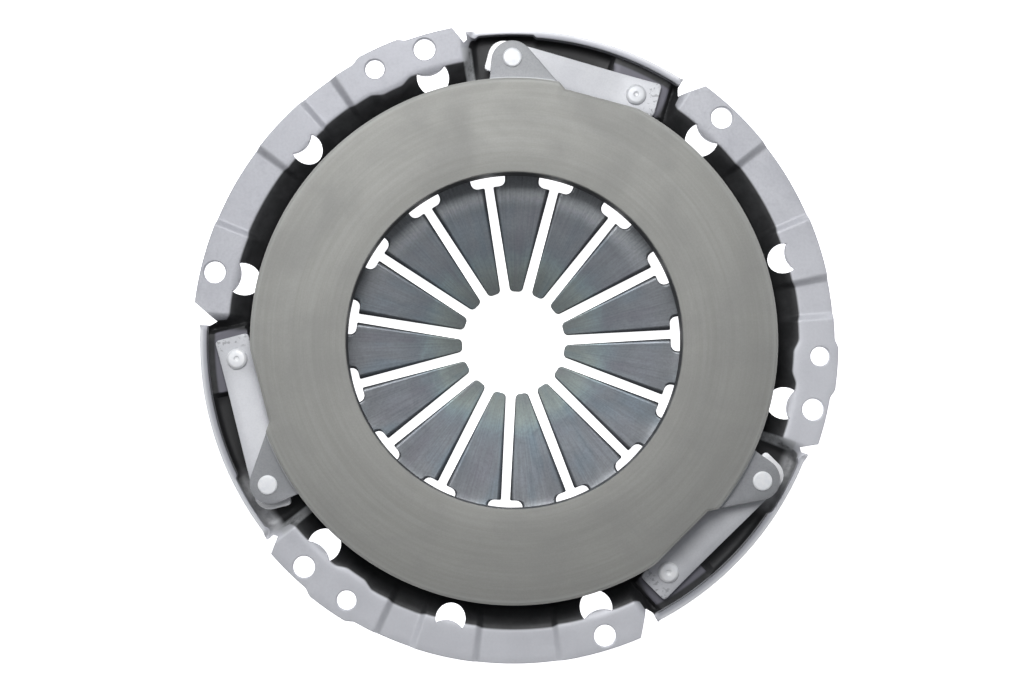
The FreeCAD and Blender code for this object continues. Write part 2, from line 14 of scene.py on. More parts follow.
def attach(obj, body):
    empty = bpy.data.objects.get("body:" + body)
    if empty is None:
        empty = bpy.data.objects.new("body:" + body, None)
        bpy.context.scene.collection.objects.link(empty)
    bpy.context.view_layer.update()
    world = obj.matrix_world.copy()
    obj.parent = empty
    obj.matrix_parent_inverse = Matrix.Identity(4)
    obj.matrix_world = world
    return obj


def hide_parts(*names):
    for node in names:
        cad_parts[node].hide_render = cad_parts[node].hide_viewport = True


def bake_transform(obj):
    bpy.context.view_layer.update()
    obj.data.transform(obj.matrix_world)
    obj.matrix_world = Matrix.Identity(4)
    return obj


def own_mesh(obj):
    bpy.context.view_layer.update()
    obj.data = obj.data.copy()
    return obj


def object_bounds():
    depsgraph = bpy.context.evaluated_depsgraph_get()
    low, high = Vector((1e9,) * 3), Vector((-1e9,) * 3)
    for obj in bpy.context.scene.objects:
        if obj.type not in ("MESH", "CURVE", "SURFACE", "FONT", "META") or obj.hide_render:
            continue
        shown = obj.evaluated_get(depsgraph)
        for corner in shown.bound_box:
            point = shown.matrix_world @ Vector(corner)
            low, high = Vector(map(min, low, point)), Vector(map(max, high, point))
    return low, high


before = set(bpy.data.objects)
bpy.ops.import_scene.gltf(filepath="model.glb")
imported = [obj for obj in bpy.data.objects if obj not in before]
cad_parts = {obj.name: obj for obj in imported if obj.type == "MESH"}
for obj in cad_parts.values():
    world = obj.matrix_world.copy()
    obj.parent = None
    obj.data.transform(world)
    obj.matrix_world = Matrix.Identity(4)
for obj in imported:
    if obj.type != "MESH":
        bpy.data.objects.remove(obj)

MM = 0.001
cad_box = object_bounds()

# The view: the bolt circle as the photograph shows it, in a frame of 1024 by 684 pixels
picture_size = (1024, 684)
bolt_circle_centre = (514.23, 340.89)
bolt_circle_pixels = 307.16
camera_distance = 800 * MM
camera_lean_down = 2.4
camera_lean_left = 0.9
sensor_width = 36
clip_distance = 20

# Light, in metres: place, size and power of each lamp, then the surroundings and the floor
lamps = {"key": ((-0.05, 0.3, 0.6), 0.35, 2.5), "fill": ((-0.7, 0.3, 1.2), 1.0, 2.0)}
sky_colour = (0.93, 0.95, 1.0, 1)
sky_span = (-0.1, 0.25)
sky_strength = (0.14, 0.5)
floor_half = 12.0

# Edges: of the sheet, its holes and the leaves, the softening of every shaded edge, and hard turns
sheet_edge = 0.5
hole_edge = 0.45
leaf_edge = 0.12
soft_edge = 0.35
sharp_turn = 32

# Bolt circle
strap_count = 3
strap_spacing = 360.0 / strap_count
bolt_radius = 127.0
bolt_hole = 4.5
dowel_hole = 4.0
first_bolt_angle = 107.1
second_bolt_offset = 60.0
dowel_offset = 10.05
plate_travel = 3.6

# Cast plate
plate_radius = bolt_radius - 18.9
plate_bore_radius = plate_radius - 39.1
bore_draft = 0.3
face_height = 9.5
face_chamfer = 1.0
plate_back = face_height - 11.5
ridge_radius = plate_radius - 7.6
ridge_tip = plate_back - 5.5
ridge_tip_width = 2.6
ridge_base_width = 6.0
ridge_breaks = 12
ridge_break_angle = 5.1
lug_front = face_height - 3.5
lug_back = lug_front - 5.0
lug_end_radius = 8.7
lug_end_inset = 1.5
lug_back_angle = 5.1
lug_front_run = 6.5
casting_fillet = 0.8

# Strap packs
leaf_thickness = 0.7
leaf_count = 3
leaf_straightness = 0.7
pack_thickness = leaf_thickness * leaf_count
strap_normal_angle = 75.0
strap_distance = plate_radius + 4.6
strap_width = 14.0
flat_distance = strap_distance - strap_width / 2 - 0.4
lug_rivet_run = strap_distance * math.tan(math.radians(15.43))
cover_rivet_run = -strap_distance * math.tan(math.radians(11.29))
strap_tail = 9.4
strap_nose = 10.2
strap_nose_corner = 6.5
strap_corner = 1.5
strap_rise = 3.9
strap_pad_run = (cover_rivet_run - 12.5, cover_rivet_run + 11.5)
strap_pad_inner = flat_distance + 0.5
strap_pad_top = lug_back - pack_thickness - strap_rise
strap_pad_slope = 2.0
strap_pad_nose_slope = 2.5

# Rivets
fulcrum_shank_radius = 3.0
fulcrum_shoulder_radius = 4.1
fulcrum_head_radius = 6.9
fulcrum_head_height = 1.5
fulcrum_tail_radius = 5.4
fulcrum_tail_height = 2.3
strap_shank_radius = 3.0
strap_rivet_tail_radius = 4.0
lug_rivet_head_radius = 4.0
lug_rivet_head_height = 0.8
lug_rivet_tail_height = 1.9
cover_rivet_head_radius = 4.3
cover_rivet_head_height = 1.7
cover_rivet_tail_height = 1.6
rivet_dimple_radius = 1.2
rivet_dimple_depth = 0.5

# Diaphragm spring and fulcrum rings
finger_count = 15
first_slot_angle = 3.07
spring_radius = ridge_radius + 2.0
spring_thickness = 2.4
cone_angle = 13.4
cone_slope = math.tan(math.radians(cone_angle))
finger_slope = math.tan(math.radians(4.4))
finger_tip_radius = 21.8
tip_round = 1.6
slot_half_inside = 2.05
slot_half_outside = 1.85
ring_wire = 3.2
ring_split = 3.0
ring_offset = 2.93
fulcrum_radius = ridge_radius - 16.0
fulcrum_lever = ridge_radius + ridge_tip_width / 2 - fulcrum_radius
fulcrum_height = (ridge_tip - 0.1 - spring_thickness / 2 / math.cos(math.radians(cone_angle))
                  - fulcrum_lever * cone_slope)
fulcrum_rivet_circle = fulcrum_radius - ring_wire / 2 - fulcrum_shoulder_radius - 0.6
window_outer_radius = fulcrum_radius - 1.3
window_inner_radius = window_outer_radius - 16.7
window_angle = 12.1
window_corner = 2.6
band_inner_radius = window_inner_radius + window_corner

# Cover: its sheet, back, wall, flange and pockets
sheet = 3.2
bend_radius = 3.0
head_seat = fulcrum_height + 4.755
back_inside = fulcrum_height - 4.754
back_outside = back_inside - sheet
wall_middle_radius = plate_radius + 1.5
wall_top_radius = wall_middle_radius + 7.8
wall_foot_radius = wall_middle_radius - 8.6
cover_opening_radius = plate_bore_radius + 3.0
flange_radius = bolt_radius + 6.0
flange_pads = ((-6.6, 16.8), (25.2, 35.2), (51.8, 67.4))
segment_start = flange_pads[-1][1] - strap_spacing
ramp_angle = 1.5
recess_depth = 2.0
recess_lean = 0.5
flange_end_cuts = (((-5.4, 135), (-7.5, 126.2), (-8.2, 127.4), (-8.2, 135)),
                   ((65.4, 135), (69.1, 123.3), (70.0, 126.5), (70.0, 135)))
bolt_window_radius = 6.7
bolt_window_inset = 11.8
bolt_boss_radius = 10.6
middle_window_radius = 6.2
middle_window_inset = 9.6
middle_window_offset = 30.0
middle_boss_radius = 8.8
pocket_span = (-49.4, -10.0)
pocket_radius = strap_distance + strap_width / 2 + 7.0
pocket_rim = -1.0
pocket_floor = lug_back - pack_thickness - lug_rivet_tail_height - plate_travel - 1.5
cutter_span = (-30, 8)

# Local forms of the cover, as turns from a segment's first bolt: start, full, fading and end
dowel_pad_bulge = 1.6
dowel_pad_span = (2.5, 4.5, 11.5, 13.5)
dowel_boss_depth = 2.2
dowel_boss_span = (4.0, 7.0, 10.5, 13.5)
nose_hollow_depth = 1.2
nose_hollow_span = (-21.5, -20.5, -10.5, -9.5)

# Turns from a segment's first bolt between which the cover's section changes fast
fine_spans = ((-11, -5.5), (2, 5), (11, 14), (16.3, 18.8), (23.2, 25.7), (34.7, 37.2), (49.8, 52.3),
              (66.5, 71.5), (97, 100.5))


def polar(radius, angle, height=0.0):
    """A point in metres, by its radius, angle in degrees and height."""
    turn = math.radians(angle)
    return Vector((radius * math.cos(turn), radius * math.sin(turn), height)) * MM


def strap_axes(index):
    """The outward and the lengthwise direction of strap number index."""
    turn = math.radians(strap_normal_angle + strap_spacing * index)
    return (math.cos(turn), math.sin(turn)), (-math.sin(turn), math.cos(turn))


def strap_point(distance, run, height, index):
    """A point in metres, by its distance from the axis and its run along a strap."""
    out, along = strap_axes(index)
    return Vector((out[0] * distance + along[0] * run, out[1] * distance + along[1] * run, height)) * MM


def plan(point):
    """A point's place seen from above, in millimetres."""
    return np.array(point)[:2] / MM


def smooth(value, start, end):
    """0 before start, 1 after end, and a smooth step between them."""
    share = min(max((value - start) / (end - start), 0.0), 1.0)
    return share * share * (3 - 2 * share)


def hump(value, start, full, fading, end):
    """1 from full to fading, 0 before start and after end, and smooth steps between them."""
    return smooth(value, start, full) - smooth(value, fading, end)


def near_angle(angle, centre):
    """The angle, brought within half a turn of a centre."""
    return centre + (angle - centre + 180) % 360 - 180


def rounded(corners, radii, runs, steps=4, closed=True):
    """A line through corners, each rounded by its radius.

    An arc takes less than half of each straight beside it. runs gives how many pieces the straight
    after each corner has, so that two lines made with the same runs and steps have as many points.
    """
    corners = [np.array(corner, float) for corner in corners]
    count = len(corners)
    longest = 0.45
    arcs = []
    for index, (here, radius) in enumerate(zip(corners, radii)):
        at_end = not closed and index in (0, count - 1)
        if radius == 0 or at_end:
            arcs.append([here])
            continue
        back = corners[index - 1] - here
        ahead = corners[(index + 1) % count] - here
        sizes = np.linalg.norm(back), np.linalg.norm(ahead)
        if min(sizes) < 1e-6:
            arcs.append([here] * (steps + 1))
            continue
        back, ahead = back / sizes[0], ahead / sizes[1]
        turn = math.pi - math.acos(min(max(float(back @ ahead), -1.0), 1.0))
        reach = min(radius * math.tan(turn / 2), longest * min(sizes))
        arc = []
        for step in range(steps + 1):
            t = step / steps
            arc.append(here + back * reach * (1 - t) ** 2 + ahead * reach * t ** 2)
        arcs.append(arc)
    line = []
    for index in range(count if closed else count - 1):
        line += arcs[index]
        start, end = arcs[index][-1], arcs[(index + 1) % count][0]
        for step in range(1, runs[index]):
            line.append(start + (end - start) * step / runs[index])
    return line if closed else line + arcs[-1]


def new_piece(name, vertices, faces, sharp=sharp_turn):
    """A mesh object with its normals outward and its edges sharp only where they turn hard."""
    mesh = bpy.data.meshes.new(name)
    mesh.from_pydata([tuple(v) for v in vertices], [], faces)
    weld = 0.002 * MM
    edit = bmesh.new()
    edit.from_mesh(mesh)
    bmesh.ops.remove_doubles(edit, verts=edit.verts, dist=weld)
    bmesh.ops.dissolve_degenerate(edit, edges=edit.edges, dist=weld / 2)
    bmesh.ops.recalc_face_normals(edit, faces=edit.faces)
    edit.to_mesh(mesh)
    edit.free()
    mesh.shade_smooth()
    mesh.set_sharp_from_angle(angle=math.radians(sharp))
    piece = bpy.data.objects.new(name, mesh)
    bpy.context.scene.collection.objects.link(piece)
    return piece


def grid(columns, wrap_columns=True, wrap_rows=True, first=0):
    """Vertices and faces of a grid of points. first is the number of its first vertex."""
    count, rows = len(columns), len(columns[0])
    faces = []
    for column in range(count if wrap_columns else count - 1):
        beside = (column + 1) % count
        for row in range(rows if wrap_rows else rows - 1):
            above = (row + 1) % rows
            faces.append(tuple(first + n for n in (column * rows + row, beside * rows + row,
                                                   beside * rows + above, column * rows + above)))
    return [point for column in columns for point in column], faces


def turned(line, sides, hub):
    """Columns of points for grid: a line turned round the upright through a hub."""
    return [[hub + polar(radius, 360.0 * side / sides, height) for radius, height in line]
            for side in range(sides)]


def tube(name, loops):
    """A piece skinned over loops of points and closed at both ends."""
    vertices, faces = grid(loops, False, True)
    around = len(loops[0])
    faces.append(tuple(range(around)))
    faces.append(tuple(range(len(vertices) - around, len(vertices))))
    return new_piece(name, vertices, faces)


def spread_angles(coarse, fine, zones):
    """Angles round the axis: coarse steps everywhere, and fine ones in the zones."""
    angles = set(round(coarse * step, 3) for step in range(round(360 / coarse)))
    for start, end in zones:
        for step in range(round((end - start) / fine) + 1):
            angles.add(round((start + fine * step) % 360, 3))
    ordered = sorted(angles)
    return [a for a, b in zip(ordered, ordered[1:] + [ordered[0] + 360]) if b - a > fine * 0.4]


# Cover

def flange_level(offset):
    """Height of the flange face, by the angle from the segment's first bolt."""
    level = 0.0
    for (_, low_start), (low_end, _) in zip(flange_pads, flange_pads[1:]):
        dip = hump(offset, low_start, low_start + ramp_angle, low_end - ramp_angle, low_end)
        level -= recess_depth * dip
    return level


def pocket_share(offset):
    """0 on the flange and 1 in the strap pocket, by the angle from a segment's first bolt."""
    return hump(offset, segment_start, *pocket_span, flange_pads[0][0])


def mitred(path):
    """The corners of a sheet's rear skin, from those of its front skin."""
    runs = [(b - a) / np.linalg.norm(b - a) for a, b in zip(path, path[1:])]
    normals = [np.array((run[1], -run[0])) for run in runs]
    rear = [path[0] + normals[0] * sheet]
    for point, before, after in zip(path[1:], normals, normals[1:]):
        rear.append(point + (before + after) * sheet / (1 + before @ after))
    return rear + [path[-1] + normals[-1] * sheet]


def cover_section(angle):
    """The closed section of the cover at an angle."""
    offset = (angle - first_bolt_angle - segment_start) % strap_spacing + segment_start
    level = flange_level(offset)
    pocket = pocket_share(offset)
    outer = flange_radius + dowel_pad_bulge * hump(offset, *dowel_pad_span)
    inward = dowel_boss_depth * hump(offset, *dowel_boss_span)
    corner = wall_top_radius - recess_lean * level - inward
    flange = [(corner, level), (outer, level)]
    hollow = [(pocket_radius, pocket_floor), (pocket_radius, pocket_rim)]
    ends = [np.array(a) * (1 - pocket) + np.array(b) * pocket for a, b in zip(flange, hollow)]
    path = [np.array((cover_opening_radius, back_inside)), np.array((wall_foot_radius, back_inside)),
            np.array((wall_middle_radius, pocket_floor))] + ends
    rear_path = mitred(path)[::-1]
    thinner = nose_hollow_depth * hump(offset, *nose_hollow_span) * pocket
    path[-2:] = [end + np.array((thinner, 0)) for end in path[-2:]]
    wide = bend_radius + sheet
    front = (sheet_edge, bend_radius, bend_radius, wide * (1 - pocket) + bend_radius * pocket,
             sheet_edge)
    rear = (sheet_edge, bend_radius * (1 - pocket) + wide * pocket, bend_radius, wide, sheet_edge)
    runs = (2, 4, 12, 5, 1, 5, 8, 4, 2, 1)
    return rounded(path + rear_path, front + rear, runs)


def strap_pad_share(x, y):
    """How far a point of the pocket belongs to the raised pad under a strap's fixed end."""
    most = 0.0
    for index in range(strap_count):
        out, along = strap_axes(index)
        distance = x * out[0] + y * out[1]
        run = x * along[0] + y * along[1]
        start = strap_pad_inner - 0.75 * strap_pad_slope
        share = smooth(distance, start, start + strap_pad_slope)
        share *= hump(run, strap_pad_run[0] - strap_pad_slope, *strap_pad_run,
                      strap_pad_run[1] + strap_pad_nose_slope)
        most = max(most, share)
    return most


def cover_columns():
    """Points of the cover's sheet, section by section round the axis."""
    zones = []
    for index in range(strap_count):
        bolt = first_bolt_angle + strap_spacing * index
        zones += [(bolt + start, bolt + end) for start, end in fine_spans]
    rise = strap_pad_top - pocket_floor
    columns = []
    for angle in spread_angles(0.9, 0.22, zones):
        turn = math.radians(angle)
        column = []
        for radius, height in cover_section(angle):
            x, y = radius * math.cos(turn), radius * math.sin(turn)
            if wall_middle_radius - 4 < radius < pocket_radius + sheet and height < strap_pad_top:
                share = strap_pad_share(x, y)
                if height > pocket_floor - 0.6 * sheet:
                    height += (strap_pad_top - height) * share
                else:
                    share *= 1 - smooth(radius, pocket_radius - 4, pocket_radius - 1)
                    height += rise * share
            column.append(Vector((x, y, height)) * MM)
        columns.append(column)
    return columns


def prism(outline):
    """Vertices and faces of an upright tool with flat ends."""
    low, high = cutter_span
    count = len(outline)
    vertices = [Vector((x, y, low)) * MM for x, y in outline]
    vertices += [Vector((x, y, high)) * MM for x, y in outline]
    faces = [tuple(range(count))[::-1], tuple(range(count, 2 * count))]
    for index in range(count):
        after = (index + 1) % count
        faces.append((index, after, count + after, count + index))
    return vertices, faces


def window_outline(radius, gap, angle, boss):
    """The plan of a vent window: a circle, less the boss in front of it."""
    across = (gap * gap + radius * radius - boss ** 2) / (2 * gap)
    reach = math.acos(min(across / radius, 1.0))
    side = math.asin(min(radius * math.sin(reach) / boss, 1.0))
    arc_steps, boss_steps = 24, 8
    points = []
    for step in range(arc_steps + 1):
        turn = reach + (2 * math.pi - 2 * reach) * step / arc_steps
        points.append((bolt_radius - gap + radius * math.cos(turn), radius * math.sin(turn)))
    for step in range(1, boss_steps):
        turn = math.pi + side - 2 * side * step / boss_steps
        points.append((bolt_radius + boss * math.cos(turn), boss * math.sin(turn)))
    spin = math.radians(angle)
    return [(x * math.cos(spin) - y * math.sin(spin), x * math.sin(spin) + y * math.cos(spin))
            for x, y in points]


def hole_tool(radius, angle):
    """Vertices and faces of the tool for a flange hole with a broken edge on both faces."""
    reach, sides = sheet + 3, 40
    profile = [(radius + reach - hole_edge, reach), (radius, -hole_edge), (radius, hole_edge - sheet),
               (radius + reach - hole_edge, -sheet - reach)]
    vertices, faces = grid(turned(profile, sides, polar(bolt_radius, angle)), True, False)
    faces.append(tuple(range(0, len(vertices), len(profile))))
    faces.append(tuple(range(len(profile) - 1, len(vertices), len(profile)))[::-1])
    return vertices, faces


def cover_tools():
    """One mesh object of all the holes and windows to cut out of the cover."""
    vertices, faces = [], []
    solids = []
    for index in range(strap_count):
        bolt = first_bolt_angle + strap_spacing * index
        solids.append(hole_tool(dowel_hole, bolt + dowel_offset))
        solids.append(prism(window_outline(middle_window_radius, middle_window_inset,
                                           bolt + middle_window_offset, middle_boss_radius)))
        for offset in (0, second_bolt_offset):
            solids.append(hole_tool(bolt_hole, bolt + offset))
            solids.append(prism(window_outline(bolt_window_radius, bolt_window_inset,
                                               bolt + offset, bolt_boss_radius)))
        for cut in flange_end_cuts:
            solids.append(prism([plan(polar(radius, bolt + offset)) for offset, radius in cut]))
    for points, sides in solids:
        faces += [tuple(len(vertices) + n for n in side) for side in sides]
        vertices += points
    return new_piece("cover_tools", vertices, faces)


def make_cover():
    """The pressed cover with its holes and windows."""
    cover = new_piece("cover_shell", *grid(cover_columns()))
    tools = cover_tools()
    cut = cover.modifiers.new("holes", "BOOLEAN")
    cut.operation = "DIFFERENCE"
    cut.solver = "EXACT"
    cut.object = tools
    bpy.context.view_layer.update()
    solved = cover.evaluated_get(bpy.context.evaluated_depsgraph_get())
    mesh = bpy.data.meshes.new_from_object(solved)
    cover.modifiers.clear()
    cover.data = mesh
    bpy.data.objects.remove(tools)
    cover.data.set_sharp_from_angle(angle=math.radians(sharp_turn))
    return cover


# Cast pressure plate

def lug_outline(index):
    """Angles and radii of a lug's edge, from its front root round its end to its back root."""
    rivet = plan(strap_point(strap_distance, lug_rivet_run, 0, index))
    hub = rivet * (1 - lug_end_inset / np.linalg.norm(rivet))
    hub_angle = math.degrees(math.atan2(hub[1], hub[0]))
    front_root = plan(strap_point(flat_distance, lug_front_run, 0, index))
    back_root = plan(polar(plate_radius - 1, hub_angle + lug_back_angle))
    turns = []
    for root, side in ((front_root, -1), (back_root, 1)):
        span = hub - root
        far = np.linalg.norm(span)
        heading = math.atan2(span[1], span[0]) + side * math.asin(lug_end_radius / far)
        touch = root + math.sqrt(far ** 2 - lug_end_radius ** 2) * np.array(
            (math.cos(heading), math.sin(heading)))
        turns.append(math.atan2(*(touch - hub)[::-1]))
    first, last = turns
    while last < first:
        last += 2 * math.pi
    arc_steps, side_steps = 24, 6
    outline = [front_root]
    for step in range(arc_steps + 1):
        turn = first + (last - first) * step / arc_steps
        outline.append(hub + lug_end_radius * np.array((math.cos(turn), math.sin(turn))))
    outline.append(back_root)
    dense = []
    for a, b in zip(outline, outline[1:]):
        dense += [a + (b - a) * step / side_steps for step in range(side_steps)]
    dense.append(back_root)
    angles = [near_angle(math.degrees(math.atan2(p[1], p[0])), hub_angle) for p in dense]
    return hub_angle, np.array(angles), np.array([np.linalg.norm(p) for p in dense])


def plate_section(angle, lugs):
    """The closed section of the casting at an angle."""
    upper = lower = lug = plate_radius
    for index in range(strap_count):
        normal = strap_normal_angle + strap_spacing * index
        local = near_angle(angle, normal) - normal
        if abs(local) > strap_spacing / 2:
            continue
        chord = min(flat_distance / math.cos(math.radians(local)), plate_radius)
        hub_angle, angles, radii = lugs[index]
        near = near_angle(angle, hub_angle)
        lower = chord
        if near < angles[0]:
            upper = lug = chord
        elif near <= angles[-1]:
            edge = float(np.interp(near, angles, radii))
            upper = min(edge, plate_radius) if near < hub_angle else plate_radius
            lug = max(upper, edge)
    step = 360.0 / ridge_breaks
    across = angle % step
    across = min(across, step - across) - ridge_break_angle / 2
    tip = plate_back + (ridge_tip - plate_back) * smooth(across, -0.2, 0.4)
    half_tip, half_base = ridge_tip_width / 2, ridge_base_width / 2
    corners = [(plate_bore_radius, face_height), (upper - face_chamfer, face_height),
               (upper, face_height - face_chamfer), (upper, lug_front), (lug, lug_front),
               (lug, lug_back), (lower, lug_back), (lower, plate_back),
               (ridge_radius + half_base, plate_back), (ridge_radius + half_tip, tip),
               (ridge_radius - half_tip, tip), (ridge_radius - half_base, plate_back),
               (plate_bore_radius - bore_draft, plate_back)]
    fine, small, soft, wide = 0.25, 0.5, 0.7, casting_fillet
    radii = (small, fine, fine, wide, soft, soft, wide, soft, wide, small, small, wide, small)
    runs = (3, 1, 2, 3, 2, 1, 1, 1, 1, 1, 1, 3, 2)
    return rounded(corners, radii, runs, 3)


def make_plate():
    """The iron casting: ring, flats, lugs and the broken ridge behind it."""
    lugs = [lug_outline(index) for index in range(strap_count)]
    zones = [(angles[0] - 1.5, angles[-1] + 1) for _, angles, _ in lugs]
    columns = [[polar(radius, angle, height) for radius, height in plate_section(angle, lugs)]
               for angle in spread_angles(0.8, 0.25, zones)]
    return new_piece("plate_casting", *grid(columns))


# Diaphragm spring

def quarter(radius_at, half_at, size, first, steps=4):
    """Rows of a quarter round of a slot's edge: radius and half width, by the turn in degrees."""
    rows = []
    for step in range(steps + 1):
        turn = math.radians(first + 90.0 * step / steps)
        rows.append((radius_at + size * math.sin(turn), half_at - size * math.cos(turn)))
    return rows


def spring_rows():
    """Rows of a finger from its tip outward: radius, and half the gap beside it."""
    hair, shoulder, far_corner = 0.03, 0.6, 0.5
    corner = window_corner
    side_rows = (72.0, 76.0, 80.0)
    straight = 14
    start, end = finger_tip_radius + tip_round, window_inner_radius - shoulder
    rows = quarter(start, slot_half_inside + tip_round, tip_round, -90)
    for count in range(1, straight):
        share = count / straight
        rows.append((start + (end - start) * share,
                     slot_half_inside + (slot_half_outside - slot_half_inside) * share))
    rows += quarter(end, slot_half_outside + shoulder, shoulder, 0)
    side = math.sin(math.radians(window_angle / 2))
    neck = window_inner_radius * side - corner
    for turn in (math.pi / 8 * n for n in range(5)):
        radius = window_inner_radius + hair + corner * (1 - math.cos(turn))
        rows.append((radius, neck + (radius * side - neck) * math.sin(turn)))
    rows += [(radius, radius * side) for radius in side_rows]
    rows += [(window_outer_radius - hair - far_corner, window_outer_radius * side),
             (window_outer_radius - hair, window_outer_radius * side - far_corner)]
    band = 7
    for count in range(band + 1):
        rows.append((window_outer_radius + (spring_radius - window_outer_radius) * count / band, 0.0))
    return rows


def spring_height(radius):
    """Height of the spring's middle surface."""
    knee = fulcrum_height - (fulcrum_radius - band_inner_radius) * cone_slope
    reach = radius - band_inner_radius
    soft = 2.5
    blend = soft / 2 * math.log1p(math.exp(min(reach * 2 / soft, 60.0)))
    return knee + finger_slope * reach + (cone_slope - finger_slope) * blend


def make_spring():
    """The slotted cone spring. Its sheet gets its thickness from a modifier that stays on."""
    across = 12
    sector = 180.0 / finger_count
    vertices, faces = [], []
    for finger in range(finger_count):
        centre = first_slot_angle + sector * (2 * finger + 1)
        columns = []
        for column in range(across + 1):
            side = 2 * column / across - 1
            points = []
            for radius, half in spring_rows():
                reach = sector - math.degrees(math.asin(half / radius))
                points.append(polar(radius, centre + side * reach, spring_height(radius)))
            columns.append(points)
        points, quads = grid(columns, False, False, len(vertices))
        vertices += points
        faces += quads
    spring = new_piece("diaphragm", vertices, faces, 60)
    if sum(face.normal.z for face in spring.data.polygons) < 0:
        spring.data.flip_normals()
    thick = spring.modifiers.new("sheet", "SOLIDIFY")
    thick.thickness = spring_thickness * MM
    thick.offset = 0
    return spring


# Rings and rivets

def make_ring(name, height):
    """A split ring of round wire."""
    sides, steps = 14, 200
    wire = ring_wire / 2
    opening = math.degrees(ring_split / fulcrum_radius)
    start = first_slot_angle + 180.0 / finger_count + opening / 2
    turns = [2 * math.pi * side / sides for side in range(sides)]
    angles = [start + (360 - opening) * step / steps for step in range(steps + 1)]
    return tube(name, [[polar(fulcrum_radius + wire * math.cos(turn), angle,
                              height + wire * math.sin(turn)) for turn in turns]
                       for angle in angles])


def turned_pieces(name, profile, radii, places, sides=36):
    """Rivets turned from one profile, lowest point first, at several places."""
    line = rounded(profile, radii, [1] * len(profile), 4, False)
    vertices, faces = [], []
    for place in places:
        points, quads = grid(turned(line, sides, place), True, False, len(vertices))
        vertices += points
        faces += quads
    return new_piece(name, vertices, faces, 40)


def make_fulcrum_rivets():
    """The shouldered rivets behind the plate."""
    places = [polar(fulcrum_rivet_circle, first_slot_angle + 360.0 / finger_count * n)
              for n in range(finger_count)]
    shank, shoulder = fulcrum_shank_radius, fulcrum_shoulder_radius
    head, tail = fulcrum_head_radius, fulcrum_tail_radius
    low = back_outside - fulcrum_tail_height
    top = head_seat + fulcrum_head_height
    profile = [(0, low), (tail - 1.4, low), (tail, back_outside - 0.4), (tail, back_outside),
               (shank, back_outside), (shank, back_inside), (shoulder, back_inside),
               (shoulder, head_seat), (head, head_seat), (head, head_seat + 0.6),
               (head - 1.7, top), (0, top)]
    radii = (0, 1.4, 0.8, 0.1, 0, 0, 0, 0, 0.2, 0.7, 0.9, 0)
    return turned_pieces("shouldered_rivets", profile, radii, places)


def make_lug_rivet(index):
    """The flat-headed rivet of a moving strap end."""
    shank, head, tail = strap_shank_radius, lug_rivet_head_radius, strap_rivet_tail_radius
    back = lug_back - pack_thickness
    low = back - lug_rivet_tail_height
    top = lug_front + lug_rivet_head_height
    profile = [(0, low), (tail - 0.7, low), (tail, back - 0.6), (tail, back), (shank, back),
               (shank, lug_front), (head, lug_front), (head, lug_front + 0.45), (head - 0.5, top),
               (0, top)]
    radii = (0, 0.9, 0.5, 0.1, 0, 0, 0.1, 0.35, 0.5, 0)
    place = strap_point(strap_distance, lug_rivet_run, 0, index)
    return turned_pieces(f"lug_rivet_{index + 1}", profile, radii, [place])


def make_cover_rivet(index):
    """The domed and dimpled rivet of a fixed strap end."""
    shank, head, tail = strap_shank_radius, cover_rivet_head_radius, strap_rivet_tail_radius
    seat = strap_pad_top + pack_thickness
    back = strap_pad_top - sheet
    low = back - cover_rivet_tail_height
    top = seat + cover_rivet_head_height
    floor = top - rivet_dimple_depth
    profile = [(0, low), (tail - 0.8, low), (tail, back - 0.5), (tail, back), (shank, back),
               (shank, seat), (head, seat), (head - 0.05, seat + 0.8), (head - 1.0, top - 0.1),
               (rivet_dimple_radius, top), (rivet_dimple_radius - 0.5, floor + 0.05), (0, floor)]
    radii = (0, 0.9, 0.5, 0.1, 0, 0, 0.1, 0.7, 1.0, 0.25, 0.2, 0)
    place = strap_point(strap_distance, cover_rivet_run, 0, index)
    return turned_pieces(f"pad_rivet_{index + 1}", profile, radii, [place])


# Straps

def leaf_rows():
    """Rows of a leaf: the run along it, and its reach from the middle on each side there."""
    half = strap_width / 2
    tail = cover_rivet_run - strap_tail
    hub = lug_rivet_run + strap_nose - strap_nose_corner
    corner_steps, length_steps, nose_steps = 4, 30, 8
    rows = []
    for step in range(corner_steps + 1):
        turn = math.pi / 2 * step / corner_steps
        reach = half - strap_corner * (1 - math.sin(turn))
        rows.append((tail + strap_corner * (1 - math.cos(turn)), reach, reach))
    for step in range(1, length_steps):
        run = tail + strap_corner + (hub - tail - strap_corner) * step / length_steps
        rows.append((run, half, half))
    for step in range(nose_steps + 1):
        turn = math.pi / 2 * step / nose_steps
        run = hub + strap_nose_corner * math.sin(turn)
        past = max(run - hub - strap_nose_corner + strap_corner, 0.0)
        inner = half - strap_corner + math.sqrt(strap_corner ** 2 - past ** 2)
        rows.append((run, inner, half - strap_nose_corner * (1 - math.cos(turn))))
    return rows


def make_leaf(index, layer):
    """One leaf of a strap pack, gently bent between its two ends."""
    front = lug_back - layer * leaf_thickness
    bend_start = cover_rivet_run + strap_width / 2
    bend_end = lug_rivet_run - strap_width / 2
    columns = []
    for run, inner, outer in leaf_rows():
        share = min(max((run - bend_start) / (bend_end - bend_start), 0.0), 1.0)
        eased = leaf_straightness * share
        eased += (1 - leaf_straightness) * smooth(run, bend_start, bend_end)
        top = front - strap_rise * (1 - eased)
        low = top - leaf_thickness
        section = [(-inner, top), (outer, top), (outer, low), (-inner, low)]
        loop = rounded(section, (leaf_edge,) * 4, (4, 1, 4, 1), 2)
        columns.append([strap_point(strap_distance + d, run, z, index) for d, z in loop])
    return tube(f"strap_{index + 1}_strip_{layer + 1}", columns)


# Materials

def linear(red, green, blue):
    """A colour from its display values of 0 to 255."""
    return tuple(((c / 255 + 0.055) / 1.055) ** 2.4 for c in (red, green, blue)) + (1.0,)


